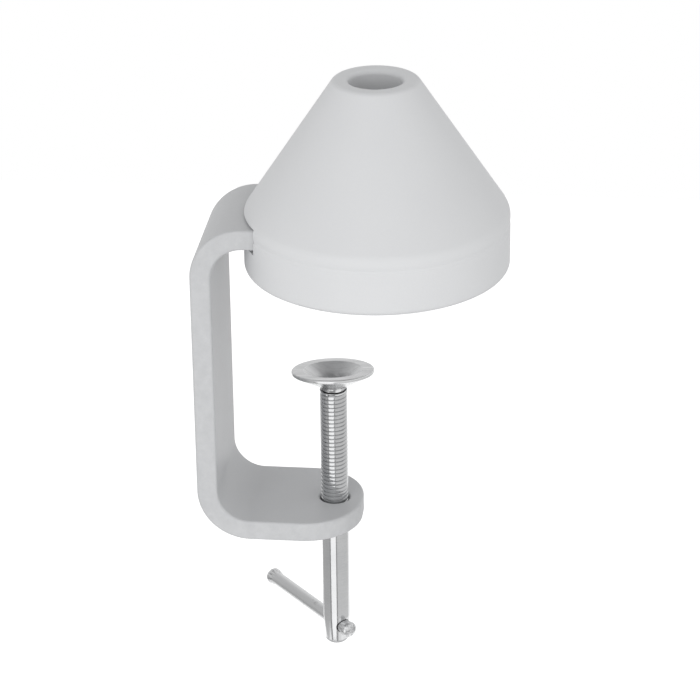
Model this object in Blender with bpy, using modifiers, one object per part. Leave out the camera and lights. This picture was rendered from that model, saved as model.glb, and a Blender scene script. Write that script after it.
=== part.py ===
"""Table edge clamp that carries a lamp arm.

A bracket of bent flat steel reaches round the desk's edge. Its upper leg enters a conical
cover, which stands on the desk and holds the socket for the arm. A clamp screw with a dished
swivel pad and a sliding tommy bar goes through the lower leg.

Units are metres and +Z is up. The origin is the middle of the grip pad's underside, on the
socket's axis, so z = 0 is the desk's top. The bracket opens towards +X.
"""

import math

import bmesh
import bpy
from mathutils import Matrix, Vector

MM = 0.001
QUARTER_TURN = math.pi / 2

# Gaps between pieces that meet
SEAT_GAP = 0.3 * MM            # two faces that rest on each other
RUNNING_GAP = 0.3 * MM         # all round a piece that turns, slides or is screwed in
WINDOW_SIDE_GAP = 0.6 * MM     # beside and above the strap where it enters the cover
WINDOW_UNDER_GAP = 1.0 * MM    # below the strap there
PLATE_EDGE_GAP = 0.4 * MM      # round the base plate, inside the cover's rim
BOSS_TO_STRAP_GAP = 1.5 * MM   # a screw boss beside the strap

# Conical cover
COVER_RADIUS = 37.5 * MM
COVER_HEIGHT = 55 * MM
COVER_WALL = 2.5 * MM
RIM_BAND_HEIGHT = 13.2 * MM    # the upright band below the crease
SHOULDER_RADIUS = 5 * MM       # round between the crease and the slope
CREASE_DEPTH = 0.3 * MM
CREASE_LIP = 0.8 * MM          # round on the band's upper edge
CREASE_LIP_ANGLE = math.radians(52)   # how far round it the crease begins
RIM_FOOT_ROUND = 1.6 * MM
TOP_RADIUS = 12.8 * MM
TOP_EDGE_ROUND = 2 * MM
ARM_HOLE_RADIUS = 7.5 * MM
ARM_HOLE_ROUND = 1.5 * MM
ARM_HOLE_DEPTH = 6.5 * MM      # from the cover's top to the socket inside
COLLAR_WALL = 2.5 * MM         # the collar that holds the top of the socket
COLLAR_LENGTH = 10 * MM

# Grip pad, base plate and the screws that hold the plate
GRIP_PAD_RADIUS = 32.5 * MM
GRIP_PAD_THICKNESS = 2.5 * MM
GRIP_PAD_CHAMFER = 0.4 * MM
GRIP_PAD_PROUD = 1 * MM        # how far it stands below the cover's rim
PLATE_FLOOR = 3 * MM
PLATE_RING_WALL = 2.5 * MM
PLATE_RIB_WIDTH = 2.4 * MM
PLATE_RIB_SPACING = 13 * MM    # middle of each rib from the middle of the plate
HEAD_POCKET_RADIUS = 10 * MM   # room for a spanner round the socket bolt's head
BOSS_RADIUS = 4 * MM
BOSS_INSET = 3.5 * MM          # from a boss to the inside of the rim
PLATE_BOSS_HEIGHT = 5.7 * MM
SCREW_SHANK_RADIUS = 1.7 * MM
SCREW_HEAD_RADIUS = 3.1 * MM
SCREW_HEAD_HEIGHT = 2 * MM
SCREW_LENGTH = 13 * MM
PILOT_BEYOND_SCREW = 1.5 * MM

# Arm socket: a steel tube with a nylon bush, bolted to the upper leg from below
BUSH_BORE_RADIUS = 6.5 * MM
BUSH_WALL = 1.5 * MM
BUSH_FLANGE = 1.5 * MM
TUBE_WALL = 1.9 * MM
TUBE_PLUG_LENGTH = 10 * MM     # the solid lower end, tapped for the bolt
TUBE_CHAMFER = 0.5 * MM
BOLT_RADIUS = 4 * MM
BOLT_HEAD_ACROSS_FLATS = 13 * MM
BOLT_HEAD_HEIGHT = 5.3 * MM
BOLT_SHORT_OF_BORE = 1 * MM    # the bolt's tip below the socket's floor
WASHER_RADIUS = 7.4 * MM
WASHER_THICKNESS = 2 * MM
WASHER_SPLIT = 0.8 * MM        # the slit that makes it a spring washer
WASHER_SPLIT_SLANT = math.radians(20)

# Flat-steel bracket
STRAP_WIDTH = 36 * MM
STRAP_THICKNESS = 6 * MM
STRAP_EDGE_ROUND = 0.6 * MM
BEND_RADIUS = 9.2 * MM         # inside of both bends
SPINE_BEHIND_COVER = 7.5 * MM  # from the cover's rim to the spine's inner face
THROAT_HEIGHT = 74 * MM        # from the desk's top to the lower leg
UPPER_LEG_BEYOND_SOCKET = 17 * MM
SCREW_REACH = 32 * MM          # from the spine's inner face to the screw's axis
LOWER_LEG_BEYOND_SCREW = 8.3 * MM
LEG_CORNER_RADIUS = 16.5 * MM
CORNER_TO_MIDDLE = 0.5 * MM    # least straight left on each side of a leg's end

# Clamp screw, swivel pad and tommy bar
CLAMP_OPENING = 33 * MM        # from the desk's top to the middle of the pad's flat ring
SCREW_DIAMETER = 8 * MM
CLAMP_SCREW_LENGTH = 83.4 * MM
SCREW_CHAMFER = 0.6 * MM
SCREW_CUP_EDGE = 0.15 * MM     # left between the cup and the screw's side
SCREW_TAPER_LENGTH = 9 * MM
SCREW_TIP_RADIUS = 3.3 * MM
PAD_RADIUS = 12 * MM
PAD_LAND = 3.4 * MM            # the flat ring that presses on the desk's underside
PAD_LIP = 1.2 * MM
PAD_LIP_ROUND = 0.5 * MM
PAD_FLOOR = 1 * MM
PAD_PIVOT_DEPTH = 4.3 * MM     # the middle of the ball joint, below the flat ring
PAD_BOTTOM_INSET = 0.1 * MM    # how much the pad's round bottom is under the screw's radius
PAD_NECK_ANGLE = math.radians(12)     # below level, where the cone meets the round bottom
PAD_SEAT_ANGLE = math.radians(10)     # below level, where the ball's seat ends
PAD_LIP_SLANT = math.radians(70)      # how far below level its lower round ends
PAD_TILT = math.radians(9)            # the loose pad leans until its rivet stops it
PAD_TILT_AXIS = math.radians(12)      # level line that it leans about, from +X
BALL_FLAT_HEIGHT = 1 * MM      # the ball's flat top, above its middle
RIVET_RADIUS = 1.3 * MM
RIVET_DEPTH = 5 * MM           # in the clamp screw, below its cup
BAR_DIAMETER = 3.9 * MM
BAR_LENGTH = 43 * MM
BAR_ABOVE_TIP = 6 * MM
BAR_SPREAD_RADIUS = 2.45 * MM  # the spread ends that keep the bar in its hole
BAR_SPREAD_LENGTH = 4.2 * MM
BAR_END_ROUND = 1.5 * MM
BAR_NOTCH_DEPTH = 0.5 * MM     # the chisel mark that spreads each end
BAR_SLACK = 1 * MM             # free travel left until the near end fills the hole
BAR_DIRECTION = math.radians(131)

# How finely round shapes are divided
COVER_STEPS = 64
ROUND_STEPS = 40
SMALL_ROUND_STEPS = 24
BEND_STEPS = 10
SHARP_EDGE_ANGLE = math.radians(30)
FLAT_ANGLE = math.radians(1)   # faces this near to one plane are merged before bending
CUT_MARGIN = 2 * MM            # how far a cutter runs past what it cuts
WELD_DISTANCE = 0.001 * MM

# Heights of the stack that stands on the desk, from the bottom up
RIM_Z = GRIP_PAD_PROUD
PLATE_Z = GRIP_PAD_THICKNESS + SEAT_GAP
BOLT_HEAD_Z = PLATE_Z + SEAT_GAP
WASHER_Z = BOLT_HEAD_Z + BOLT_HEAD_HEIGHT + SEAT_GAP
UPPER_LEG_Z = WASHER_Z + WASHER_THICKNESS + SEAT_GAP
TUBE_Z = UPPER_LEG_Z + STRAP_THICKNESS + SEAT_GAP
SOCKET_FLOOR_Z = TUBE_Z + TUBE_PLUG_LENGTH
COVER_TOP_Z = RIM_Z + COVER_HEIGHT
COLLAR_STOP_Z = COVER_TOP_Z - ARM_HOLE_DEPTH
BUSH_TOP_Z = COLLAR_STOP_Z - SEAT_GAP
TUBE_TOP_Z = BUSH_TOP_Z - BUSH_FLANGE - SEAT_GAP
CREASE_Z = RIM_Z + RIM_BAND_HEIGHT

# Radii of the socket, from the bore out
BUSH_RADIUS = BUSH_BORE_RADIUS + BUSH_WALL
TUBE_BORE_RADIUS = BUSH_RADIUS + RUNNING_GAP
TUBE_RADIUS = TUBE_BORE_RADIUS + TUBE_WALL
COLLAR_BORE_RADIUS = TUBE_RADIUS + RUNNING_GAP
COLLAR_RADIUS = COLLAR_BORE_RADIUS + COLLAR_WALL

# Places along the bracket
BEND_MIDDLE = BEND_RADIUS + STRAP_THICKNESS / 2
SPINE_INNER_X = -(COVER_RADIUS + SPINE_BEHIND_COVER)
SCREW_X = SPINE_INNER_X + SCREW_REACH
LOWER_END_X = SCREW_X + LOWER_LEG_BEYOND_SCREW
LOWER_LEG_Z = -THROAT_HEIGHT
BEND_START_X = SPINE_INNER_X + BEND_RADIUS
UPPER_FLAT = UPPER_LEG_BEYOND_SOCKET - BEND_START_X
SPINE_FLAT = UPPER_LEG_Z - LOWER_LEG_Z - 2 * BEND_RADIUS
LOWER_FLAT = LOWER_END_X - BEND_START_X
BEND_LENGTH = QUARTER_TURN * BEND_MIDDLE
BLANK_LENGTH = UPPER_FLAT + SPINE_FLAT + LOWER_FLAT + 2 * BEND_LENGTH

# Places along the clamp screw, below the origin
SCREW_RADIUS = SCREW_DIAMETER / 2
PIVOT_Z = -CLAMP_OPENING - PAD_PIVOT_DEPTH
PAD_BOTTOM_RADIUS = SCREW_RADIUS - PAD_BOTTOM_INSET
PAD_SEAT_RADIUS = PAD_BOTTOM_RADIUS - PAD_FLOOR
BALL_RADIUS = PAD_SEAT_RADIUS - SEAT_GAP
PAD_HOLE_RADIUS = ((RIVET_RADIUS + SEAT_GAP + PAD_BOTTOM_RADIUS * math.sin(PAD_TILT))
                   / math.cos(PAD_TILT))
SCREW_CUP_RADIUS = PAD_BOTTOM_RADIUS + SEAT_GAP
SCREW_RIM_RADIUS = SCREW_RADIUS - SCREW_CUP_EDGE
SCREW_RIM_Z = PIVOT_Z - math.sqrt(SCREW_CUP_RADIUS ** 2 - SCREW_RIM_RADIUS ** 2)
SCREW_TIP_Z = SCREW_RIM_Z - CLAMP_SCREW_LENGTH
BAR_Z = SCREW_TIP_Z + BAR_ABOVE_TIP
BAR_RADIUS = BAR_DIAMETER / 2
BAR_HOLE_RADIUS = BAR_RADIUS + RUNNING_GAP
BAR_STOP_LENGTH = BAR_END_ROUND + ((BAR_SPREAD_LENGTH - BAR_END_ROUND)
                                   * (BAR_SPREAD_RADIUS - BAR_HOLE_RADIUS)
                                   / (BAR_SPREAD_RADIUS - BAR_RADIUS))
BAR_SHIFT = BAR_LENGTH / 2 - BAR_STOP_LENGTH - SCREW_RADIUS - BAR_SLACK

# The three bosses: one in front of the upper leg, one on each side of it
PLATE_SCREW_CIRCLE = COVER_RADIUS - COVER_WALL - BOSS_INSET - BOSS_RADIUS
BOSS_SIDE_REACH = STRAP_WIDTH / 2 + BOSS_TO_STRAP_GAP + BOSS_RADIUS
BOSS_SIDE_ANGLE = math.pi - math.asin(min(1, BOSS_SIDE_REACH / PLATE_SCREW_CIRCLE))
BOSS_ANGLES = (0, BOSS_SIDE_ANGLE, -BOSS_SIDE_ANGLE)
SCREW_HEAD_POCKET = SCREW_HEAD_HEIGHT + 2 * SEAT_GAP
PLATE_BOSS_TOP_Z = PLATE_Z + PLATE_BOSS_HEIGHT
COVER_BOSS_Z = PLATE_BOSS_TOP_Z + SEAT_GAP


def clear_scene():
    for obj in list(bpy.data.objects):
        bpy.data.objects.remove(obj)


def new_collection(name, hidden=False):
    collection = bpy.data.collections.new(name)
    collection.hide_render = hidden
    bpy.context.scene.collection.children.link(collection)
    return collection


def new_material(name, colour, roughness, metallic=0.0):
    material = bpy.data.materials.new(name)
    material.use_nodes = True
    shader = material.node_tree.nodes["Principled BSDF"]
    shader.inputs["Base Color"].default_value = (*colour, 1)
    shader.inputs["Roughness"].default_value = roughness
    shader.inputs["Metallic"].default_value = metallic
    return material


def new_object(name, data, collection, location=(0, 0, 0), turn=0.0):
    obj = bpy.data.objects.new(name, data)
    obj.location = location
    obj.rotation_euler.z = turn
    collection.objects.link(obj)
    return obj


def direction(angle):
    return Vector((math.cos(angle), math.sin(angle)))


def arc(centre, radius, start, end, steps):
    """Points of an arc in a flat plane, from one angle to the other."""
    angles = (start + (end - start) * step / steps for step in range(steps + 1))
    return [Vector(centre) + radius * direction(angle) for angle in angles]


def turned(name, profile, collection, steps=ROUND_STEPS, location=(0, 0, 0), turn=0.0):
    """A (radius, height) profile turned about Z. It runs down its outer side."""
    on_axis = profile[0][0] == 0
    count = len(profile)
    edges = [(i, (i + 1) % count) for i in range(count - 1 if on_axis else count)]
    mesh = bpy.data.meshes.new(name)
    mesh.from_pydata([(r, 0, z) for r, z in profile], edges, [])
    obj = new_object(name, mesh, collection, location, turn)
    screw = obj.modifiers.new("turn", "SCREW")
    screw.steps = screw.render_steps = steps
    screw.use_merge_vertices = True
    screw.merge_threshold = WELD_DISTANCE
    return obj


def cylinder(name, radius, low, high, collection, centre=(0, 0), steps=SMALL_ROUND_STEPS):
    mesh = bpy.data.meshes.new(name)
    shape = bmesh.new()
    bmesh.ops.create_cone(shape, cap_ends=True, segments=steps, radius1=radius,
                          radius2=radius, depth=high - low,
                          matrix=Matrix.Translation((*centre, (low + high) / 2)))
    shape.to_mesh(mesh)
    shape.free()
    return new_object(name, mesh, collection)


def box(name, low, high, collection):
    low, high = Vector(low), Vector(high)
    mesh = bpy.data.meshes.new(name)
    shape = bmesh.new()
    size = Matrix.Diagonal((*(high - low), 1))
    bmesh.ops.create_cube(shape, matrix=Matrix.Translation((low + high) / 2) @ size)
    shape.to_mesh(mesh)
    shape.free()
    return new_object(name, mesh, collection)


def combine(obj, other, operation):
    """Adds the other solid to the object, or cuts it away."""
    other.hide_render = True
    other.display_type = "WIRE"
    boolean = obj.modifiers.new(other.name, "BOOLEAN")
    boolean.solver = "EXACT"
    boolean.operation = operation
    boolean.object = other


def slope_angle(low_centre, low_radius, high_centre, high_radius):
    """The outward angle of the straight line that touches both rounds from outside."""
    across = Vector(high_centre) - Vector(low_centre)
    lead = math.acos((low_radius - high_radius) / across.length)
    return math.atan2(across.y, across.x) - lead


def boss_places():
    return [PLATE_SCREW_CIRCLE * direction(angle) for angle in BOSS_ANGLES]


def cover_profile():
    """Outer side from the arm hole to the rim, then the inside back up to the hole."""
    inside = COVER_RADIUS - COVER_WALL
    crease_angle = math.acos(1 - CREASE_DEPTH / SHOULDER_RADIUS)
    shoulder_z = CREASE_Z + SHOULDER_RADIUS * math.sin(crease_angle)
    shoulder = (COVER_RADIUS - SHOULDER_RADIUS, shoulder_z)
    top_edge = (TOP_RADIUS - TOP_EDGE_ROUND, COVER_TOP_Z - TOP_EDGE_ROUND)
    slope = slope_angle(shoulder, SHOULDER_RADIUS, top_edge, TOP_EDGE_ROUND)
    outer = arc((ARM_HOLE_RADIUS + ARM_HOLE_ROUND, COVER_TOP_Z - ARM_HOLE_ROUND),
                ARM_HOLE_ROUND, math.pi, QUARTER_TURN, 3)
    outer += arc(top_edge, TOP_EDGE_ROUND, QUARTER_TURN, slope, 5)
    outer += arc(shoulder, SHOULDER_RADIUS, slope, -crease_angle, 9)
    outer += arc((COVER_RADIUS - CREASE_LIP, CREASE_Z - CREASE_LIP),
                 CREASE_LIP, CREASE_LIP_ANGLE, 0, 3)
    outer += arc((COVER_RADIUS - RIM_FOOT_ROUND, RIM_Z + RIM_FOOT_ROUND),
                 RIM_FOOT_ROUND, 0, -QUARTER_TURN, 4)
    inner_round = SHOULDER_RADIUS - COVER_WALL
    inner = [Vector((inside, RIM_Z))]
    inner += arc(shoulder, inner_round, 0, slope, 4)
    last = inner[-1]
    collar_root = last.y + (last.x - COLLAR_RADIUS) / math.tan(slope)
    inner += [(COLLAR_RADIUS, collar_root),
              (COLLAR_RADIUS, COLLAR_STOP_Z - COLLAR_LENGTH),
              (COLLAR_BORE_RADIUS, COLLAR_STOP_Z - COLLAR_LENGTH),
              (COLLAR_BORE_RADIUS, COLLAR_STOP_Z), (ARM_HOLE_RADIUS, COLLAR_STOP_Z)]
    return outer + inner


def wall_height(radius):
    """How high the outside of the cone stands at a radius."""
    profile = cover_profile()
    for high, low in zip(profile, profile[1:]):
        if high[0] <= radius < low[0]:
            return high[1] + (low[1] - high[1]) * (radius - high[0]) / (low[0] - high[0])
    return CREASE_Z


def make_cover(parts, cutters):
    cover = turned("cone_cover", cover_profile(), parts, COVER_STEPS)
    boss_top = wall_height(PLATE_SCREW_CIRCLE + BOSS_RADIUS) - SEAT_GAP
    pilot_top = PLATE_Z + SCREW_HEAD_POCKET + SCREW_LENGTH + PILOT_BEYOND_SCREW
    for number, place in enumerate(boss_places(), 1):
        combine(cover, cylinder(f"cover_boss_{number}", BOSS_RADIUS, COVER_BOSS_Z,
                                boss_top, cutters, place), "UNION")
        combine(cover, cylinder(f"cover_pilot_{number}", SCREW_SHANK_RADIUS + RUNNING_GAP,
                                COVER_BOSS_Z - CUT_MARGIN, pilot_top, cutters, place),
                "DIFFERENCE")
    half_width = STRAP_WIDTH / 2 + WINDOW_SIDE_GAP
    inside = COVER_RADIUS - COVER_WALL
    inner_end = -math.sqrt(inside ** 2 - half_width ** 2) + CUT_MARGIN
    window = box("strap_window",
                 (-COVER_RADIUS - CUT_MARGIN, -half_width, UPPER_LEG_Z - WINDOW_UNDER_GAP),
                 (inner_end, half_width, UPPER_LEG_Z + STRAP_THICKNESS + WINDOW_SIDE_GAP),
                 cutters)
    combine(cover, window, "DIFFERENCE")
    return cover


def make_base_plate(parts, cutters):
    """A moulded plate that carries the upper leg on a ring and two ribs."""
    edge = COVER_RADIUS - COVER_WALL - PLATE_EDGE_GAP
    floor_top = PLATE_Z + PLATE_FLOOR
    top = UPPER_LEG_Z - SEAT_GAP
    ring = HEAD_POCKET_RADIUS + PLATE_RING_WALL
    plate = turned("base_plate", [
        (HEAD_POCKET_RADIUS, top), (ring, top), (ring, floor_top), (edge, floor_top),
        (edge, PLATE_Z), (HEAD_POCKET_RADIUS, PLATE_Z)], parts, COVER_STEPS)
    for side, name in ((-1, "near_rib"), (1, "far_rib")):
        middle = side * PLATE_RIB_SPACING
        half = PLATE_RIB_WIDTH / 2
        rib = box(name, (-COVER_RADIUS / 2, middle - half, PLATE_Z + PLATE_FLOOR / 2),
                  (UPPER_LEG_BEYOND_SOCKET, middle + half, top), cutters)
        combine(plate, rib, "UNION")
    for number, place in enumerate(boss_places(), 1):
        combine(plate, cylinder(f"plate_boss_{number}", BOSS_RADIUS,
                                PLATE_Z + PLATE_FLOOR / 2, PLATE_BOSS_TOP_Z,
                                cutters, place), "UNION")
        combine(plate, cylinder(f"plate_hole_{number}", SCREW_SHANK_RADIUS + RUNNING_GAP,
                                PLATE_Z - CUT_MARGIN, PLATE_BOSS_TOP_Z + CUT_MARGIN,
                                cutters, place), "DIFFERENCE")
        combine(plate, cylinder(f"plate_pocket_{number}", SCREW_HEAD_RADIUS + RUNNING_GAP,
                                PLATE_Z - CUT_MARGIN, PLATE_Z + SCREW_HEAD_POCKET,
                                cutters, place), "DIFFERENCE")
    return plate


def make_grip_pad(parts):
    profile = [(0, GRIP_PAD_THICKNESS), (GRIP_PAD_RADIUS, GRIP_PAD_THICKNESS),
               (GRIP_PAD_RADIUS, GRIP_PAD_CHAMFER),
               (GRIP_PAD_RADIUS - GRIP_PAD_CHAMFER, 0), (0, 0)]
    return turned("grip_pad", profile, parts, COVER_STEPS)


def make_cover_screws(parts):
    """Pan-head screws, put in from below through the base plate."""
    seat = SCREW_HEAD_HEIGHT
    profile = [(0, seat + SCREW_LENGTH), (SCREW_SHANK_RADIUS / 2, seat + SCREW_LENGTH),
               (SCREW_SHANK_RADIUS, seat + SCREW_LENGTH - SCREW_SHANK_RADIUS),
               (SCREW_SHANK_RADIUS, seat), (SCREW_HEAD_RADIUS, seat)]
    profile += [(SCREW_HEAD_RADIUS, seat / 2), (SCREW_HEAD_RADIUS - seat / 2, 0), (0, 0)]
    return [turned(f"cover_screw_{number}", profile, parts, SMALL_ROUND_STEPS,
                   (*place, PLATE_Z + SEAT_GAP))
            for number, place in enumerate(boss_places(), 1)]


def make_socket(parts, cutters):
    """The tube, its nylon bush, and the bolt and washer that hold it to the leg."""
    tapped = BOLT_RADIUS + RUNNING_GAP
    tube = turned("socket_tube", [
        (TUBE_BORE_RADIUS, TUBE_TOP_Z), (TUBE_RADIUS - TUBE_CHAMFER, TUBE_TOP_Z),
        (TUBE_RADIUS, TUBE_TOP_Z - TUBE_CHAMFER), (TUBE_RADIUS, TUBE_Z + TUBE_CHAMFER),
        (TUBE_RADIUS - TUBE_CHAMFER, TUBE_Z), (tapped, TUBE_Z),
        (tapped, SOCKET_FLOOR_Z), (TUBE_BORE_RADIUS, SOCKET_FLOOR_Z)], parts)
    bush_flange_z = BUSH_TOP_Z - BUSH_FLANGE
    bush = turned("socket_bush", [
        (BUSH_BORE_RADIUS, BUSH_TOP_Z), (TUBE_RADIUS - TUBE_CHAMFER, BUSH_TOP_Z),
        (TUBE_RADIUS - TUBE_CHAMFER, bush_flange_z), (BUSH_RADIUS, bush_flange_z),
        (BUSH_RADIUS, SOCKET_FLOOR_Z + SEAT_GAP),
        (BUSH_BORE_RADIUS, SOCKET_FLOOR_Z + SEAT_GAP)], parts)
    washer_top = WASHER_Z + WASHER_THICKNESS
    washer = turned("socket_washer", [
        (tapped, washer_top), (WASHER_RADIUS, washer_top), (WASHER_RADIUS, WASHER_Z),
        (tapped, WASHER_Z)], parts, SMALL_ROUND_STEPS)
    split = box("washer_split", (-WASHER_SPLIT / 2, 0, -WASHER_THICKNESS),
                (WASHER_SPLIT / 2, WASHER_RADIUS + CUT_MARGIN, WASHER_THICKNESS), cutters)
    split.location.z = WASHER_Z + WASHER_THICKNESS / 2
    split.rotation_euler.y = WASHER_SPLIT_SLANT
    combine(washer, split, "DIFFERENCE")
    head_top = BOLT_HEAD_Z + BOLT_HEAD_HEIGHT
    bolt = turned("socket_bolt", [
        (0, SOCKET_FLOOR_Z - BOLT_SHORT_OF_BORE),
        (BOLT_RADIUS - SCREW_CHAMFER, SOCKET_FLOOR_Z - BOLT_SHORT_OF_BORE),
        (BOLT_RADIUS, SOCKET_FLOOR_Z - BOLT_SHORT_OF_BORE - SCREW_CHAMFER),
        (BOLT_RADIUS, head_top - SEAT_GAP), (0, head_top - SEAT_GAP)],
        parts, SMALL_ROUND_STEPS)
    return tube, bush, washer, bolt


def add_bolt_head(bolt, cutters):
    across_corners = BOLT_HEAD_ACROSS_FLATS / math.cos(math.pi / 6)
    head = cylinder("bolt_head", across_corners / 2, BOLT_HEAD_Z,
                    BOLT_HEAD_Z + BOLT_HEAD_HEIGHT, cutters, steps=6)
    combine(bolt, head, "UNION")


def circle_points(centre, radius, steps=SMALL_ROUND_STEPS):
    return arc(centre, radius, 0, -2 * math.pi, steps)[:-1]


def blank_outline():
    """The flat blank of the strap, with its two ends' corners rounded."""
    half = STRAP_WIDTH / 2
    corner = min(LEG_CORNER_RADIUS, half - CORNER_TO_MIDDLE)
    outline = arc((corner, corner - half), corner, math.pi, 1.5 * math.pi, 8)
    outline += arc((BLANK_LENGTH - corner, corner - half), corner,
                   1.5 * math.pi, 2 * math.pi, 8)
    outline += arc((BLANK_LENGTH - corner, half - corner), corner, 0, QUARTER_TURN, 8)
    outline += arc((corner, half - corner), corner, QUARTER_TURN, math.pi, 8)
    return outline


def flat_blank(name, outlines):
    """A sheet of the strap's thickness with rounded edges, from flat closed outlines."""
    curve = bpy.data.curves.new(name, "CURVE")
    curve.dimensions = "2D"
    curve.fill_mode = "BOTH"
    curve.bevel_depth = STRAP_EDGE_ROUND
    curve.bevel_resolution = 1
    curve.offset = -STRAP_EDGE_ROUND
    curve.extrude = STRAP_THICKNESS / 2 - STRAP_EDGE_ROUND
    for outline in outlines:
        spline = curve.splines.new("POLY")
        spline.points.add(len(outline) - 1)
        for point, (x, y) in zip(spline.points, outline):
            point.co = (x, y, 0, 1)
        spline.use_cyclic_u = True
    guide = bpy.data.objects.new(name, curve)
    bpy.context.scene.collection.objects.link(guide)
    graph = bpy.context.evaluated_depsgraph_get()
    mesh = bpy.data.meshes.new_from_object(guide.evaluated_get(graph))
    bpy.data.objects.remove(guide)
    return mesh


def bent_place(along, above):
    """Where a point of the flat blank lies, as (x, z), once both bends are made."""
    place = Vector((UPPER_LEG_BEYOND_SOCKET, UPPER_LEG_Z + STRAP_THICKNESS / 2))
    heading = math.pi
    for flat, bend in ((UPPER_FLAT, QUARTER_TURN), (SPINE_FLAT, QUARTER_TURN),
                       (BLANK_LENGTH, 0)):
        step = min(along, flat)
        place += step * direction(heading)
        along -= step
        swing = min(along / BEND_MIDDLE, bend)
        centre = place + BEND_MIDDLE * direction(heading + QUARTER_TURN)
        heading += swing
        place = centre - BEND_MIDDLE * direction(heading + QUARTER_TURN)
        along -= swing * BEND_MIDDLE
    return place - above * direction(heading + QUARTER_TURN)


def make_bracket(parts):
    """The strap is cut and drilled flat, then bent twice, as on a press."""
    holes = [circle_points((UPPER_LEG_BEYOND_SOCKET, 0), BOLT_RADIUS + RUNNING_GAP),
             circle_points((BLANK_LENGTH - LOWER_LEG_BEYOND_SCREW, 0),
                           SCREW_RADIUS + RUNNING_GAP)]
    mesh = flat_blank("bracket", [blank_outline(), *holes])
    shape = bmesh.new()
    shape.from_mesh(mesh)
    bmesh.ops.remove_doubles(shape, verts=shape.verts, dist=WELD_DISTANCE)
    bmesh.ops.dissolve_limit(shape, angle_limit=FLAT_ANGLE, verts=shape.verts,
                             edges=shape.edges)
    for bend_start in (UPPER_FLAT, UPPER_FLAT + BEND_LENGTH + SPINE_FLAT):
        for step in range(BEND_STEPS + 1):
            across = (bend_start + BEND_LENGTH * step / BEND_STEPS, 0, 0)
            bmesh.ops.bisect_plane(shape, geom=[*shape.verts, *shape.edges, *shape.faces],
                                   plane_co=across, plane_no=(1, 0, 0))
    for vertex in shape.verts:
        x, z = bent_place(vertex.co.x, vertex.co.z)
        vertex.co = (x, -vertex.co.y, z)
    shape.to_mesh(mesh)
    shape.free()
    return new_object("bracket", mesh, parts)


def on_sphere(radius, distance):
    """The angle below level at which a sphere comes this near to its upright axis."""
    return -math.acos(distance / radius)


def make_swivel_pad(parts):
    """A turned cup on a ball joint. Heights are from the middle of the joint."""
    edge = PAD_RADIUS - PAD_LIP_ROUND
    profile = [(PAD_RADIUS - PAD_LAND, PAD_PIVOT_DEPTH)]
    profile += arc((edge, PAD_PIVOT_DEPTH - PAD_LIP_ROUND), PAD_LIP_ROUND,
                   QUARTER_TURN, 0, 3)
    profile += arc((edge, PAD_PIVOT_DEPTH - PAD_LIP + PAD_LIP_ROUND), PAD_LIP_ROUND,
                   0, -PAD_LIP_SLANT, 3)
    profile += arc((0, 0), PAD_BOTTOM_RADIUS, -PAD_NECK_ANGLE,
                   on_sphere(PAD_BOTTOM_RADIUS, PAD_HOLE_RADIUS), 5)
    profile += arc((0, 0), PAD_SEAT_RADIUS, on_sphere(PAD_SEAT_RADIUS, PAD_HOLE_RADIUS),
                   -PAD_SEAT_ANGLE, 4)
    pad = turned("swivel_pad", profile, parts, location=(SCREW_X, 0, PIVOT_Z))
    lean = Matrix.Rotation(-PAD_TILT, 3, direction(PAD_TILT_AXIS).to_3d())
    pad.rotation_euler = lean.to_euler()
    return pad


def make_pad_rivet(parts):
    """The ball that holds the pad, on a shank that is pressed into the clamp screw."""
    top_angle = math.asin(BALL_FLAT_HEIGHT / BALL_RADIUS)
    cup_floor = -math.sqrt(SCREW_CUP_RADIUS ** 2 - RIVET_RADIUS ** 2)
    profile = [(0, BALL_FLAT_HEIGHT)]
    profile += arc((0, 0), BALL_RADIUS, top_angle, on_sphere(BALL_RADIUS, RIVET_RADIUS), 8)
    profile += [(RIVET_RADIUS, cup_floor - RIVET_DEPTH), (0, cup_floor - RIVET_DEPTH)]
    return turned("pad_rivet", profile, parts, SMALL_ROUND_STEPS, (SCREW_X, 0, PIVOT_Z))


def make_clamp_screw(parts, cutters):
    """Cupped end, shank and tapered tip, with a cross hole for the tommy bar."""
    drilled = RIVET_RADIUS + RUNNING_GAP
    cup_floor = PIVOT_Z - math.sqrt(SCREW_CUP_RADIUS ** 2 - drilled ** 2)
    hole_floor = cup_floor - RIVET_DEPTH - SEAT_GAP
    profile = [(SCREW_RADIUS, SCREW_RIM_Z - SCREW_CUP_EDGE),
               (SCREW_RADIUS, SCREW_TIP_Z + SCREW_TAPER_LENGTH),
               (SCREW_TIP_RADIUS, SCREW_TIP_Z + SCREW_CHAMFER),
               (SCREW_TIP_RADIUS - SCREW_CHAMFER, SCREW_TIP_Z), (0, SCREW_TIP_Z)]
    cup = arc((0, PIVOT_Z), SCREW_CUP_RADIUS, on_sphere(SCREW_CUP_RADIUS, drilled),
              on_sphere(SCREW_CUP_RADIUS, SCREW_RIM_RADIUS), 5)
    profile = [(0, hole_floor), (drilled, hole_floor), *cup, *profile]
    profile = [(radius, z - PIVOT_Z) for radius, z in profile]
    screw = turned("clamp_screw", profile, parts, location=(SCREW_X, 0, PIVOT_Z))
    hole = cylinder("bar_hole", BAR_HOLE_RADIUS, -SCREW_DIAMETER, SCREW_DIAMETER, cutters)
    hole.location = (SCREW_X, 0, BAR_Z)
    hole.rotation_euler = (0, QUARTER_TURN, BAR_DIRECTION)
    combine(screw, hole, "DIFFERENCE")
    return screw


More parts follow.
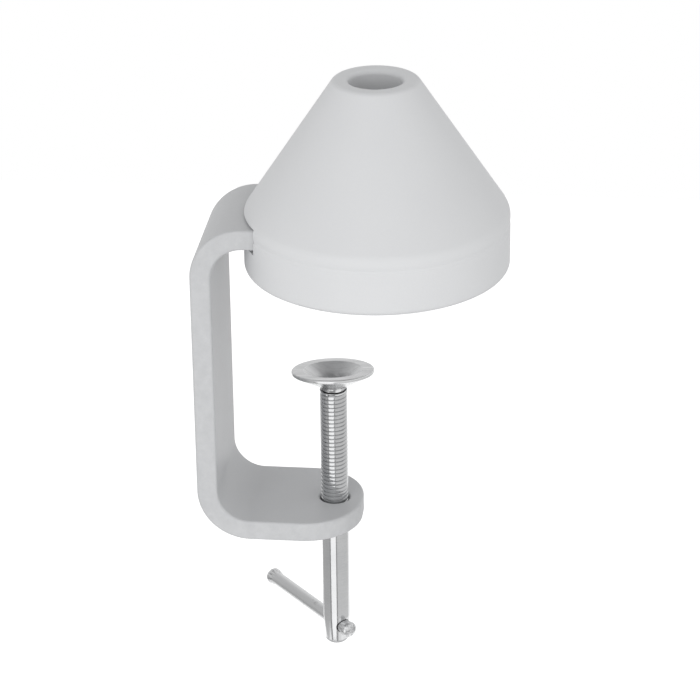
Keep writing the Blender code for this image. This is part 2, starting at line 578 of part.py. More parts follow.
def make_tommy_bar(parts, cutters):
    """A rod whose two ends are notched with a chisel, which spreads them into stops."""
    half = BAR_LENGTH / 2
    end = [Vector((0, half))]
    end += arc((BAR_SPREAD_RADIUS - BAR_END_ROUND, half - BAR_END_ROUND), BAR_END_ROUND,
               QUARTER_TURN, 0, 4)
    end.append(Vector((BAR_RADIUS, half - BAR_SPREAD_LENGTH)))
    profile = end + [Vector((radius, -z)) for radius, z in reversed(end)]
    bar = turned("tommy_bar", profile, parts, SMALL_ROUND_STEPS)
    for side, name in ((1, "near_notch"), (-1, "far_notch")):
        size = BAR_NOTCH_DEPTH * math.sqrt(2)
        notch = box(name, (-size / 2, -BAR_SPREAD_RADIUS - CUT_MARGIN, -size / 2),
                    (size / 2, BAR_SPREAD_RADIUS + CUT_MARGIN, size / 2), cutters)
        notch.location.z = side * half
        notch.rotation_euler.y = QUARTER_TURN / 2
        notch.parent = bar
        combine(bar, notch, "DIFFERENCE")
    bar.rotation_euler = (0, QUARTER_TURN, BAR_DIRECTION)
    bar.location = Vector((SCREW_X, 0, BAR_Z)) + BAR_SHIFT * direction(BAR_DIRECTION).to_3d()
    return bar


def finish(obj, material):
    """Applies the object's modifiers, then shades its rounds smooth and its edges sharp."""
    graph = bpy.context.evaluated_depsgraph_get()
    mesh = bpy.data.meshes.new_from_object(obj.evaluated_get(graph))
    obj.modifiers.clear()
    obj.data = mesh
    mesh.name = obj.name
    mesh.materials.clear()
    mesh.materials.append(material)
    mesh.shade_smooth()
    mesh.set_sharp_from_angle(angle=SHARP_EDGE_ANGLE)


def attach(child, parent):
    """Makes one object the other's child and leaves it where it is."""
    child.parent = parent
    child.matrix_parent_inverse = parent.matrix_world.inverted()


def main():
    clear_scene()
    parts = new_collection("table_edge_clamp")
    cutters = new_collection("cutters", hidden=True)
    moulded = new_material("light_grey_moulding", (0.68, 0.69, 0.70), 0.5)
    painted = new_material("light_grey_paint", (0.59, 0.60, 0.61), 0.45)
    rubber = new_material("grey_rubber", (0.36, 0.36, 0.37), 0.85)
    nylon = new_material("black_nylon", (0.02, 0.02, 0.02), 0.5)
    steel = new_material("bright_steel", (0.62, 0.63, 0.64), 0.25, 1.0)
    zinc = new_material("zinc_plate", (0.55, 0.56, 0.57), 0.4, 1.0)

    tube, bush, washer, bolt = make_socket(parts, cutters)
    add_bolt_head(bolt, cutters)
    screw = make_clamp_screw(parts, cutters)
    bar = make_tommy_bar(parts, cutters)
    pad = make_swivel_pad(parts)
    rivet = make_pad_rivet(parts)
    finishes = [
        (make_bracket(parts), painted), (make_cover(parts, cutters), moulded),
        (make_base_plate(parts, cutters), moulded), (make_grip_pad(parts), rubber),
        (tube, zinc), (bush, nylon), (washer, zinc), (bolt, zinc),
        (screw, steel), (rivet, steel), (pad, steel), (bar, steel)]
    finishes += [(cover_screw, zinc) for cover_screw in make_cover_screws(parts)]
    bpy.context.view_layer.update()
    for obj, material in finishes:
        finish(obj, material)

    screw_axis = bpy.data.objects.new("screw_axis", None)
    screw_axis.location = (SCREW_X, 0, LOWER_LEG_Z)
    parts.objects.link(screw_axis)
    bpy.context.view_layer.update()
    attach(rivet, screw_axis)
    attach(pad, rivet)
    attach(screw, rivet)
    attach(bar, screw)


main()
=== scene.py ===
# %% [markdown]
# # A clamp for the edge of a desk
# The real clamp is a strip of flat steel bent into a C. A conical plastic cover stands on its
# upper leg and holds a socket for a lamp arm. A screw through the lower leg presses a dished
# pad against the underside of the desk, and a bar through the screw's tip turns it.
#
# The imported model gives every piece its place and size. It could be shown as it is, but its
# rounds are coarse and its screw has no thread, so the pieces that show are made again here,
# finer, in the same places. The model's own box is kept.

import math

import bmesh
import bpy
from mathutils import Matrix, Vector


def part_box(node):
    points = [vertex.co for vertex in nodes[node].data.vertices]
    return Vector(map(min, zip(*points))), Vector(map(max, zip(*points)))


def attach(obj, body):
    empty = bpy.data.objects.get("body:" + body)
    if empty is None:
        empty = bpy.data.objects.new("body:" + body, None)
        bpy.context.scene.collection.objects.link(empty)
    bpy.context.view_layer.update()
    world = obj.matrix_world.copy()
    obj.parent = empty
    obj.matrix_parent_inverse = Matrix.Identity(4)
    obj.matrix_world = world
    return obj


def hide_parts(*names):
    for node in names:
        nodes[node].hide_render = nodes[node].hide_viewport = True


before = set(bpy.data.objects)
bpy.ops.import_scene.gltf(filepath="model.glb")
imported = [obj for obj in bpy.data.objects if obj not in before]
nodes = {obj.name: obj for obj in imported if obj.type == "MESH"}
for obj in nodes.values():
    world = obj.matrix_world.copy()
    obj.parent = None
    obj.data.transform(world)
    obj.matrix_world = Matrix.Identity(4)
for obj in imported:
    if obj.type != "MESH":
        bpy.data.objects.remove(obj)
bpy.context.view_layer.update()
print("pieces in the frame:", ", ".join(sorted(nodes)))

# %% [markdown]
# The camera comes first, because everything else is judged through it. The photograph was
# taken from a little above and a little to the right of the strap's edge, with a long lens.
# Guessing these numbers by eye is slow. They were worked out by fitting the outlines of the
# cover, the bracket and the screw, which fixes direction, distance and focal length at once.

# %% Camera
MM = 0.001
FRAME_PIXELS = 700
FOCAL_PIXELS = 2896
SENSOR_WIDTH = 36               # in millimetres, as Blender counts it
CAMERA_TARGET = Vector((-10, 0, -30)) * MM
CAMERA_DISTANCE = 833 * MM
CAMERA_AZIMUTH = math.radians(6.54)
CAMERA_ELEVATION = math.radians(25.14)
CAMERA_ROLL = math.radians(-0.76)
OPTICAL_AXIS = (343.3, 360.9)   # where the lens axis meets the frame, in pixels


def from_above(azimuth, elevation):
    """A direction: azimuth 0 is the -Y side, and it grows towards +X."""
    level = math.cos(elevation)
    return Vector((math.sin(azimuth) * level, -math.cos(azimuth) * level,
                   math.sin(elevation)))


camera_data = bpy.data.cameras.new("camera")
camera_data.sensor_width = SENSOR_WIDTH
camera_data.lens = FOCAL_PIXELS / FRAME_PIXELS * SENSOR_WIDTH
camera_data.shift_x = 0.5 - OPTICAL_AXIS[0] / FRAME_PIXELS
camera_data.shift_y = OPTICAL_AXIS[1] / FRAME_PIXELS - 0.5
camera_data.clip_start = 10 * MM
camera = bpy.data.objects.new("camera", camera_data)
bpy.context.scene.collection.objects.link(camera)
towards = from_above(CAMERA_AZIMUTH, CAMERA_ELEVATION)
turn = towards.to_track_quat("Z", "Y").to_matrix().to_4x4()
camera.matrix_world = (Matrix.Translation(CAMERA_TARGET + CAMERA_DISTANCE * towards) @ turn
                       @ Matrix.Rotation(CAMERA_ROLL, 4, "Z"))
bpy.context.scene.camera = camera
print("lens", round(camera_data.lens, 1), "mm")

# %% [markdown]
# Shader trees are easier to read as sums than as boxes and wires. This class holds one output
# socket. Adding or multiplying two of them, or one and a plain number, makes the Math node
# and returns its output. Any other node comes from the method called node, which sets the
# node's settings before its sockets, because a setting can change which sockets there are.

# %% Shader sums
class Wire:
    """One output socket of a material, on which shader maths can be written."""

    def __init__(self, tree, socket=None):
        self.tree = tree
        self.socket = socket

    def node(self, kind, settings=None, sockets=None, out=0):
        made = self.tree.nodes.new(kind)
        for name, value in (settings or {}).items():
            setattr(made, name, value)
        for name, value in (sockets or {}).items():
            if isinstance(value, Wire):
                self.tree.links.new(value.socket, made.inputs[name])
            else:
                made.inputs[name].default_value = value
        return Wire(self.tree, made.outputs[out])

    def maths(self, operation, *values):
        return self.node("ShaderNodeMath", {"operation": operation},
                         dict(enumerate(values)))

    def __add__(self, other):
        return self.maths("ADD", self, other)

    def __sub__(self, other):
        return self.maths("SUBTRACT", self, other)

    def __rsub__(self, other):
        return self.maths("SUBTRACT", other, self)

    def __mul__(self, other):
        return self.maths("MULTIPLY", self, other)

    __radd__ = __add__

    def sine(self):
        return self.maths("SINE", self)

    def absolute(self):
        return self.maths("ABSOLUTE", self)

    def ramp(self, low, high):
        """0 below low, 1 above high, and smooth between them."""
        return self.node("ShaderNodeMapRange", {"interpolation_type": "SMOOTHSTEP"},
                         {"Value": self, "From Min": low, "From Max": high})

    def noise(self, scale, detail=2.0, rough=0.5, stretch=None):
        """Cloudy values from 0 to 1. Scale is in features a metre."""
        place = self
        if stretch:
            place = self.node("ShaderNodeVectorMath", {"operation": "MULTIPLY"},
                              {0: self, 1: stretch})
        return self.node("ShaderNodeTexNoise", None,
                         {"Vector": place, "Scale": scale, "Detail": detail,
                          "Roughness": rough}, "Fac")

    def tint(self, dark, light):
        """A colour between two, by this value."""
        return self.node("ShaderNodeMix", {"data_type": "RGBA"},
                         {"Factor": self, 6: (*dark, 1), 7: (*light, 1)}, 2)

    def dot(self, direction):
        """How far this direction agrees with another, from -1 to 1."""
        return self.node("ShaderNodeVectorMath", {"operation": "DOT_PRODUCT"},
                         {0: self, 1: direction}, "Value")

    def bump(self, height):
        """A Normal from this value taken as a relief of that height in metres."""
        return self.node("ShaderNodeBump", None,
                         {"Height": self, "Strength": 1.0, "Distance": height})


# %% [markdown]
# Every finish starts from the same thing: a material with one Principled BSDF, and the place
# of each point on the piece in metres. Values that are the same all over go straight onto the
# shader's own sockets. Values that change over the surface are wired in.

# %% A material to start from
def new_finish(name, **constants):
    """A material, its shader, and the position on the object as a Wire."""
    material = bpy.data.materials.new(name)
    material.use_nodes = True
    shader = material.node_tree.nodes["Principled BSDF"]
    for socket, value in constants.items():
        shader.inputs[socket.replace("_", " ")].default_value = value
    place = Wire(material.node_tree).node("ShaderNodeTexCoord", out="Object")
    return material, shader, place


def wire_in(shader, **wires):
    """Links each value to the shader's socket of that name."""
    for socket, wire in wires.items():
        wire.tree.links.new(wire.socket, shader.inputs[socket.replace("_", " ")])


def height_of(place):
    """The third of a point's or a direction's three values."""
    return place.node("ShaderNodeSeparateXYZ", None, {0: place}, "Z")


def axis_distance(place):
    """How far a point is from the piece's own upright axis."""
    flat = place.node("ShaderNodeVectorMath", {"operation": "MULTIPLY"},
                      {0: place, 1: (1, 1, 0)})
    return place.node("ShaderNodeVectorMath", {"operation": "LENGTH"}, {0: flat}, "Value")


# %% [markdown]
# The cover is pale grey plastic from a mould whose steel was etched to a fine matt grain. The
# grain breaks up the shine, so the relief matters more than the colour. A second, much larger
# noise moves the colour by a percent or two, as real mouldings do, and the foot of the rim
# carries a little dust.

# %% Moulded plastic
RIM_DUST = 2.5 * MM
MOULD_GRAIN = 1500              # in features a metre
MOULDING_DARK = (0.645, 0.653, 0.666)
MOULDING_LIGHT = (0.735, 0.742, 0.752)

cover_low, cover_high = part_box("cone_cover")
moulding, shader, place = new_finish("light_grey_moulding", IOR=1.46)
cloud = place.noise(28, 3)
grain = place.noise(MOULD_GRAIN, 3, 0.6)
dust = (1 - height_of(place).ramp(cover_low.z, cover_low.z + RIM_DUST)) * place.noise(300, 4)
shade = cloud * 0.6 + grain * 0.25 + (1 - dust) * 0.3
wire_in(shader,
        Base_Color=shade.tint(MOULDING_DARK, MOULDING_LIGHT),
        Roughness=0.42 + grain * 0.12 + cloud * 0.06 + dust * 0.2,
        Normal=grain.bump(0.02 * MM))
print("moulding grain:", MOULD_GRAIN, "a metre")

# %% [markdown]
# The strap is powder coated. The powder melts into a skin with a soft orange-peel relief about
# a millimetre and a half across. It covers the cut sides too, where the shear has left the
# steel rough, so these look mottled. Each vertex of the strap carries a value called
# cut_side, and the finish reads it, because a bent strap has no one direction for its sides.

# %% Powder coat
COAT_DARK = (0.508, 0.515, 0.526)
COAT_LIGHT = (0.626, 0.632, 0.643)

coat, shader, place = new_finish("light_grey_powder_coat", IOR=1.5)
cut_side = place.node("ShaderNodeAttribute", {"attribute_name": "cut_side"}, out="Fac")
peel = place.noise(620, 2, 0.45)
fine = place.noise(2300, 2)
blotch = place.noise(420, 3, 0.6)
mottle = cut_side * (blotch - 0.5)
cloud = place.noise(35, 3)
shade = 0.5 + mottle * 1.1 + (cloud - 0.5) * 0.5 + (fine - 0.5) * 0.25
wire_in(shader,
        Base_Color=shade.tint(COAT_DARK, COAT_LIGHT),
        Roughness=0.40 + peel * 0.12 + cut_side * blotch * 0.14,
        Normal=(peel + fine * 0.25 + mottle * 1.2).bump(0.035 * MM))

# %% [markdown]
# The screw is bright plated steel. Its thread is real geometry, made below, and each vertex
# carries a value called groove, which is 1 at the bottom of the thread. The groove value
# paints shade into the thread, which leaves the crest lighter, and makes the groove rougher.
# On the plain shank, fine turning marks run round it: noise stretched flat gives them, because
# a stretch of 1 to 30 draws out every blob into a line.

# %% Bright steel
STEEL_DARK = (0.30, 0.304, 0.312)
STEEL_LIGHT = (0.78, 0.785, 0.79)

screw_steel, shader, place = new_finish("bright_steel", Metallic=1.0)
groove = place.node("ShaderNodeAttribute", {"attribute_name": "groove"}, out="Fac")
turning = place.noise(260, 4, 0.6, (1, 1, 30))
smear = place.noise(170, 4, 0.6)
# groove * 0.20 is painted shade in the bottom of the thread.
shade = 0.72 + (turning - 0.5) * 0.3 + (smear - 0.5) * 0.26 - groove * 0.20
wire_in(shader,
        Base_Color=shade.tint(STEEL_DARK, STEEL_LIGHT),
        Roughness=0.06 + turning * 0.06 + smear * 0.05 + groove * 0.22,
        Normal=turning.bump(0.004 * MM))

# %% [markdown]
# The tommy bar is drawn rod, so its marks run along it, with small nicks from use. It is the
# same steel with the noise stretched the other way. Its two ends were crushed with a chisel,
# which leaves deeper streaks there.

# %% Drawn steel
BAR_LENGTH = 43 * MM
SPREAD_LENGTH = 4.2 * MM

drawn_steel, shader, place = new_finish("drawn_steel", Metallic=1.0)
drawing = place.noise(900, 3, 0.6, (1, 1, 0.03))
nick = place.noise(420, 3, 0.65).ramp(0.62, 0.72)
crushed = height_of(place).absolute().ramp(
    BAR_LENGTH / 2 - SPREAD_LENGTH, BAR_LENGTH / 2 - SPREAD_LENGTH / 2)
streak = crushed * (place.noise(2200, 3, 0.6, (1, 1, 0.12)) - 0.5)
shade = 0.71 + (drawing - 0.5) * 0.45 - nick * 0.26 + streak * 4.5
wire_in(shader,
        Base_Color=shade.tint(STEEL_DARK, STEEL_LIGHT),
        Roughness=0.26 + drawing * 0.14 + nick * 0.15,
        Normal=(drawing - nick * 1.5 + streak * 9).bump(0.008 * MM))

# %% [markdown]
# The pad was turned on a lathe, and its tool left rings all over it. The rings are a sine of
# the distance from the pad's own axis, so the pad's mesh is made upright about its own origin
# and the object is leaned afterwards. Rings catch a lamp in two bright fans, which is what
# makes turned metal look turned. The upper side is the duller one, and scratched, and faces
# that look upwards also carry painted light, which makes them lighter. Its flat ring is
# darker, and so is the middle of the dish, in patches within a few millimetres of the axis.

# %% Turned steel
RING_PITCH = 0.42 * MM
RING_WOBBLE = 0.12 * MM
DARK_MIDDLE_INNER = 3.4 * MM
DARK_MIDDLE_OUTER = 6.4 * MM
PAD_DARK = (0.24, 0.243, 0.248)
PAD_LIGHT = (0.82, 0.825, 0.83)

pad_steel, shader, place = new_finish("turned_steel", Metallic=1.0)
from_axis = axis_distance(place)
wobble = place.noise(300, 3)
rings = ((from_axis + wobble * RING_WOBBLE) * (math.tau / RING_PITCH)).sine()
stain = place.noise(110, 4, 0.6)
facing = place.node("ShaderNodeTexCoord", out="Normal")
upper = height_of(facing).ramp(0.2, 0.6)
flat_land = height_of(facing).ramp(0.86, 0.96)
scratch = upper * (place.noise(650, 3, 0.6, (0.12, 1, 0.5)) - 0.5)
dark_middle = ((1 - from_axis.ramp(DARK_MIDDLE_INNER, DARK_MIDDLE_OUTER))
          * place.noise(420, 3, 0.6).ramp(0.30, 0.55))
# upper * 0.20 is painted light on faces that look upwards.
shade = (0.78 + upper * 0.20 - flat_land * 0.36 + rings * 0.05 + (stain - 0.5) * 0.5
         + scratch * 0.9 - dark_middle * 0.75)
wire_in(shader,
        Base_Color=shade.tint(PAD_DARK, PAD_LIGHT),
        Roughness=(0.15 + upper * 0.30 - flat_land * 0.12 + stain * 0.14 + rings * 0.03
                   + dark_middle * 0.08),
        Normal=(rings + place.noise(1500, 2) * 0.6 + scratch * 3).bump(0.006 * MM))

# %% [markdown]
# Bolt, washer, tube and screws are zinc plated, a little blue and patchy. The bush is black
# nylon. The grip pad is grey rubber with a fine pebble grain and pale dust in it.

# %% Hidden finishes
ZINC_DARK = (0.46, 0.475, 0.49)
ZINC_LIGHT = (0.64, 0.65, 0.66)
NYLON_DARK = (0.012, 0.012, 0.013)
NYLON_LIGHT = (0.035, 0.035, 0.036)
RUBBER_DARK = (0.34, 0.34, 0.348)
RUBBER_LIGHT = (0.46, 0.46, 0.465)

zinc, shader, place = new_finish("zinc_plate", Metallic=1.0)
patch = place.noise(260, 3, 0.6)
wire_in(shader,
        Base_Color=patch.tint(ZINC_DARK, ZINC_LIGHT),
        Roughness=0.30 + patch * 0.2,
        Normal=place.noise(1800, 2).bump(0.006 * MM))

nylon, shader, place = new_finish("black_nylon")
grain = place.noise(1600, 3)
wire_in(shader,
        Base_Color=grain.tint(NYLON_DARK, NYLON_LIGHT),
        Roughness=0.38 + grain * 0.16,
        Normal=grain.bump(0.012 * MM))

rubber, shader, place = new_finish("grey_rubber", IOR=1.45)
pebble = place.node("ShaderNodeTexVoronoi", {"feature": "F1"},
                    {"Vector": place, "Scale": 900.0}, "Distance")
dust = place.noise(140, 4, 0.6)
wire_in(shader,
        Base_Color=(dust * 0.7 + pebble * 0.3).tint(RUBBER_DARK, RUBBER_LIGHT),
        Roughness=0.70 + dust * 0.2,
        Normal=(1 - pebble).bump(0.05 * MM))

# %% [markdown]
# Most pieces are round, so they start as an outline turned about the upright axis. Blender has
# a Screw modifier for that. Here the rings are made by hand, because the thread further down
# needs its own rings in the same mesh. The outline runs down the outer side, which makes every
# face look outwards.

# %% Turning on a lathe
ON_AXIS = 1e-9
SHARP_ANGLE = math.radians(32)


def arc(centre, radius, start, end, steps):
    """Points of an arc in the outline, from one angle to the other."""
    return [(centre[0] + radius * math.cos(start + (end - start) * i / steps),
             centre[1] + radius * math.sin(start + (end - start) * i / steps))
            for i in range(steps + 1)]


def add_ring(shape, radius, height, steps):
    if radius < ON_AXIS:
        return [shape.verts.new((0, 0, height))]
    return [shape.verts.new((radius * math.cos(math.tau * i / steps),
                             radius * math.sin(math.tau * i / steps), height))
            for i in range(steps)]


def join_rings(shape, high, low, steps):
    """Faces between two rings. A ring on the axis is one point, which makes triangles."""
    for i in range(steps):
        corners = [high[i % len(high)], low[i % len(low)],
                   low[(i + 1) % len(low)], high[(i + 1) % len(high)]]
        shape.faces.new(list(dict.fromkeys(corners)))


def new_piece(name, shape, place=(0, 0, 0)):
    mesh = bpy.data.meshes.new(name)
    shape.to_mesh(mesh)
    shape.free()
    piece = bpy.data.objects.new(name, mesh)
    piece.location = place
    bpy.context.scene.collection.objects.link(piece)
    return piece


def lathe(name, outline, steps, place=(0, 0, 0)):
    """A closed solid from a (radius, height) outline that runs down its outer side."""
    shape = bmesh.new()
    rings = [add_ring(shape, radius, height, steps) for radius, height in outline]
    if outline[0][0] > ON_AXIS:
        rings.append(rings[0])
    for high, low in zip(rings, rings[1:]):
        join_rings(shape, high, low, steps)
    return new_piece(name, shape, place)


# %% [markdown]
# Holes and windows are cut with Boolean modifiers, which are applied at once, so that no
# cutter stays in the scene. After the cuts, each piece is shaded smooth except at its sharp
# edges, and a Weighted Normal modifier keeps broad faces flat where a small round meets them.

# %% Cutting and finishing
ROD_STEPS = 64


def applied(piece):
    """Puts the result of the piece's modifiers into its mesh."""
    graph = bpy.context.evaluated_depsgraph_get()
    mesh = bpy.data.meshes.new_from_object(piece.evaluated_get(graph),
                                           preserve_all_data_layers=True, depsgraph=graph)
    piece.modifiers.clear()
    piece.data = mesh
    mesh.name = piece.name


def combine(piece, tools, operation="DIFFERENCE"):
    """Cuts the tools out of the piece, or adds them to it, and removes them."""
    for tool in tools:
        boolean = piece.modifiers.new(tool.name, "BOOLEAN")
        boolean.solver = "EXACT"
        boolean.operation = operation
        boolean.object = tool
    bpy.context.view_layer.update()
    applied(piece)
    for tool in tools:
        bpy.data.objects.remove(tool)


def rod(name, radius, low, high, place):
    """A solid cylinder between two heights."""
    return lathe(name, [(0, high), (radius, high), (radius, low), (0, low)], ROD_STEPS, place)


def block(name, low, high):
    """A box between two opposite corners."""
    shape = bmesh.new()
    low, high = Vector(low), Vector(high)
    size = Matrix.Diagonal((*(high - low), 1))
    bmesh.ops.create_cube(shape, matrix=Matrix.Translation((low + high) / 2) @ size)
    return new_piece(name, shape)


def finish_piece(piece, material, body, node):
    """Shades the piece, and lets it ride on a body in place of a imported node."""
    piece.data.shade_smooth()
    piece.data.set_sharp_from_angle(angle=SHARP_ANGLE)
    weighted = piece.modifiers.new("flat_faces", "WEIGHTED_NORMAL")
    weighted.keep_sharp = True
    bpy.context.view_layer.update()
    applied(piece)
    piece.data.materials.clear()
    piece.data.materials.append(material)
    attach(piece, body)
    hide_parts(node)
    print(piece.name, len(piece.data.polygons), "faces")


# %% [markdown]
# The cover is one outline: over the rounded lip of the hole, down the slope, round the
# shoulder into the crease, down the rim band, and back up inside to the collar that holds the
# socket. The slope has to touch both of its rounds, so its angle is worked out from them. The
# strap enters through a closed window, which is cut last, with the three screw bosses inside.

# %% Conical cover
COVER_WALL = 2.5 * MM
RIM_BAND_HEIGHT = 13.2 * MM
SHOULDER_RADIUS = 5 * MM
CREASE_DEPTH = 0.3 * MM
CREASE_LIP = 1.2 * MM
CREASE_LIP_ANGLE = math.radians(34)
RIM_FOOT_ROUND = 1.6 * MM
TOP_RADIUS = 12.8 * MM
TOP_EDGE_ROUND = 2 * MM
ARM_HOLE_RADIUS = 7.5 * MM
ARM_HOLE_ROUND = 1.5 * MM
ARM_HOLE_DEPTH = 6.5 * MM
COLLAR_BORE_RADIUS = 10.5 * MM
COLLAR_RADIUS = 13 * MM
COLLAR_LENGTH = 10 * MM
COVER_STEPS = 192
QUARTER = math.pi / 2

COVER_RADIUS = cover_high.x
RIM_Z = cover_low.z
TOP_Z = cover_high.z
CREASE_Z = RIM_Z + RIM_BAND_HEIGHT


def cover_outline():
    crease = math.acos(1 - CREASE_DEPTH / SHOULDER_RADIUS)
    shoulder = (COVER_RADIUS - SHOULDER_RADIUS,
                CREASE_Z + SHOULDER_RADIUS * math.sin(crease))
    brow = (TOP_RADIUS - TOP_EDGE_ROUND, TOP_Z - TOP_EDGE_ROUND)
    across = Vector(brow) - Vector(shoulder)
    lead = math.acos((SHOULDER_RADIUS - TOP_EDGE_ROUND) / across.length)
    slope = math.atan2(across.y, across.x) - lead
    outline = arc((ARM_HOLE_RADIUS + ARM_HOLE_ROUND, TOP_Z - ARM_HOLE_ROUND),
                  ARM_HOLE_ROUND, math.pi, QUARTER, 12)
    outline += arc(brow, TOP_EDGE_ROUND, QUARTER, slope, 12)
    outline += arc(shoulder, SHOULDER_RADIUS, slope, -crease, 24)
    outline += arc((COVER_RADIUS - CREASE_LIP, CREASE_Z - CREASE_LIP), CREASE_LIP,
                   CREASE_LIP_ANGLE, 0, 6)
    outline += arc((COVER_RADIUS - RIM_FOOT_ROUND, RIM_Z + RIM_FOOT_ROUND),
                   RIM_FOOT_ROUND, 0, -QUARTER, 10)
    outline.append((COVER_RADIUS - COVER_WALL, RIM_Z))
    outline += arc(shoulder, SHOULDER_RADIUS - COVER_WALL, 0, slope, 12)
    last = outline[-1]
    stop = TOP_Z - ARM_HOLE_DEPTH
    outline += [(COLLAR_RADIUS, last[1] + (last[0] - COLLAR_RADIUS) / math.tan(slope)),
                (COLLAR_RADIUS, stop - COLLAR_LENGTH),
                (COLLAR_BORE_RADIUS, stop - COLLAR_LENGTH), (COLLAR_BORE_RADIUS, stop),
                (ARM_HOLE_RADIUS, stop)]
    return outline, slope


outline, slope = cover_outline()
cover = lathe("cover_shell", outline, COVER_STEPS)
print("the cone's side leans", round(90 - math.degrees(slope), 1), "degrees")

# %% Window and bosses
WINDOW_SIDE = 0.6 * MM
WINDOW_UNDER = 1.0 * MM
WINDOW_DEPTH = 11.75 * MM
CUTTER_PAST = 1 * MM
BOSS_RADIUS = 4 * MM
PILOT_RADIUS = 2 * MM
BOSS_TOP = 25.5 * MM
BOSS_FOOT = 8.8 * MM
PILOT_TOP = 20 * MM
STRAP_THICKNESS = 6 * MM

strap_low, strap_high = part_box("bracket")
upper_leg_z = strap_high.z - STRAP_THICKNESS
bosses = [(low + high) / 2 for low, high in
          (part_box(f"cover_screw_{number}") for number in (1, 2, 3))]
combine(cover, [rod(f"boss_{i}", BOSS_RADIUS, BOSS_FOOT, BOSS_TOP, (at.x, at.y, 0))
                for i, at in enumerate(bosses)], "UNION")
tools = [rod(f"pilot_{i}", PILOT_RADIUS, 0, PILOT_TOP, (at.x, at.y, 0))
         for i, at in enumerate(bosses)]
tools.append(block("window", (-COVER_RADIUS - CUTTER_PAST, strap_low.y - WINDOW_SIDE,
                              upper_leg_z - WINDOW_UNDER),
                   (-COVER_RADIUS + WINDOW_DEPTH, strap_high.y + WINDOW_SIDE,
                    strap_high.z + WINDOW_SIDE)))
combine(cover, tools)
finish_piece(cover, moulding, "frame", "cone_cover")

# %% [markdown]
# The bracket is made as a press makes it. First the blank: a flat closed curve for its
# outline and one for each hole, filled, thickened and with a small bevel on every edge. Then
# it is cut across at close steps where it will bend, and every point is moved to its place on
# the bent path. Modelling the C at once would be shorter, but its round ends and its bends
# would then have to be cut and bevelled where they meet.

# %% Flat blank
EDGE_ROUND = 0.8 * MM
BEND_RADIUS = 9.2 * MM
LEG_CORNER = 16.5 * MM
LEG_PAST_SCREW = 8.3 * MM
HOLE_RADIUS = 4.3 * MM
BEVEL_STEPS = 3
CORNER_STEPS = 24
HOLE_STEPS = 64

UPPER_END_X = strap_high.x
SPINE_INNER_X = strap_low.x + STRAP_THICKNESS
LOWER_LEG_Z = strap_low.z + STRAP_THICKNESS
screw_low, screw_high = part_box("clamp_screw")
SCREW_X = (screw_low.x + screw_high.x) / 2
LOWER_END_X = SCREW_X + LEG_PAST_SCREW
BEND_MIDDLE = BEND_RADIUS + STRAP_THICKNESS / 2
BEND_START_X = SPINE_INNER_X + BEND_RADIUS
UPPER_FLAT = UPPER_END_X - BEND_START_X
SPINE_FLAT = upper_leg_z - LOWER_LEG_Z - 2 * BEND_RADIUS
LOWER_FLAT = LOWER_END_X - BEND_START_X
BEND_LENGTH = QUARTER * BEND_MIDDLE
BLANK_LENGTH = UPPER_FLAT + SPINE_FLAT + LOWER_FLAT + 2 * BEND_LENGTH
half_width = (strap_high.y - strap_low.y) / 2

blank = bpy.data.curves.new("blank", "CURVE")
blank.dimensions = "2D"
blank.fill_mode = "BOTH"
blank.bevel_depth = EDGE_ROUND
blank.bevel_resolution = BEVEL_STEPS
blank.offset = -EDGE_ROUND
blank.extrude = STRAP_THICKNESS / 2 - EDGE_ROUND
side = half_width - LEG_CORNER
ends = [(LEG_CORNER, -side, math.pi, 1.5 * math.pi),
        (BLANK_LENGTH - LEG_CORNER, -side, 1.5 * math.pi, math.tau),
        (BLANK_LENGTH - LEG_CORNER, side, 0, QUARTER),
        (LEG_CORNER, side, QUARTER, math.pi)]
outlines = [[point for x, y, start, end in ends
             for point in arc((x, y), LEG_CORNER, start, end, CORNER_STEPS)]]
for along in (UPPER_END_X, BLANK_LENGTH - LEG_PAST_SCREW):
    outlines.append(arc((along, 0), HOLE_RADIUS, 0, -math.tau, HOLE_STEPS)[:-1])
for points in outlines:
    spline = blank.splines.new("POLY")
    spline.points.add(len(points) - 1)
    for point, (x, y) in zip(spline.points, points):
        point.co = (x, y, 0, 1)
    spline.use_cyclic_u = True
guide = bpy.data.objects.new("blank", blank)
bpy.context.scene.collection.objects.link(guide)
graph = bpy.context.evaluated_depsgraph_get()
flat_mesh = bpy.data.meshes.new_from_object(guide.evaluated_get(graph))
bpy.data.objects.remove(guide)
print("blank", round(BLANK_LENGTH / MM, 1), "mm long")

# %% Bending
BEND_STEPS = 32
WELD = 0.001 * MM
FLAT_ANGLE = math.radians(1)


def bent_place(along, above):
    """Where a point of the blank lies once both bends are made, as (x, z)."""
    place = Vector((UPPER_END_X, upper_leg_z + STRAP_THICKNESS / 2))
    heading = math.pi
    for flat, bend in ((UPPER_FLAT, QUARTER), (SPINE_FLAT, QUARTER), (BLANK_LENGTH, 0)):
        step = min(along, flat)
        place += step * Vector((math.cos(heading), math.sin(heading)))
        along -= step
        swing = min(along / BEND_MIDDLE, bend)
        inward = Vector((-math.sin(heading), math.cos(heading)))
        centre = place + BEND_MIDDLE * inward
        heading += swing
        inward = Vector((-math.sin(heading), math.cos(heading)))
        place = centre - BEND_MIDDLE * inward
        along -= swing * BEND_MIDDLE
    return place - above * Vector((-math.sin(heading), math.cos(heading)))


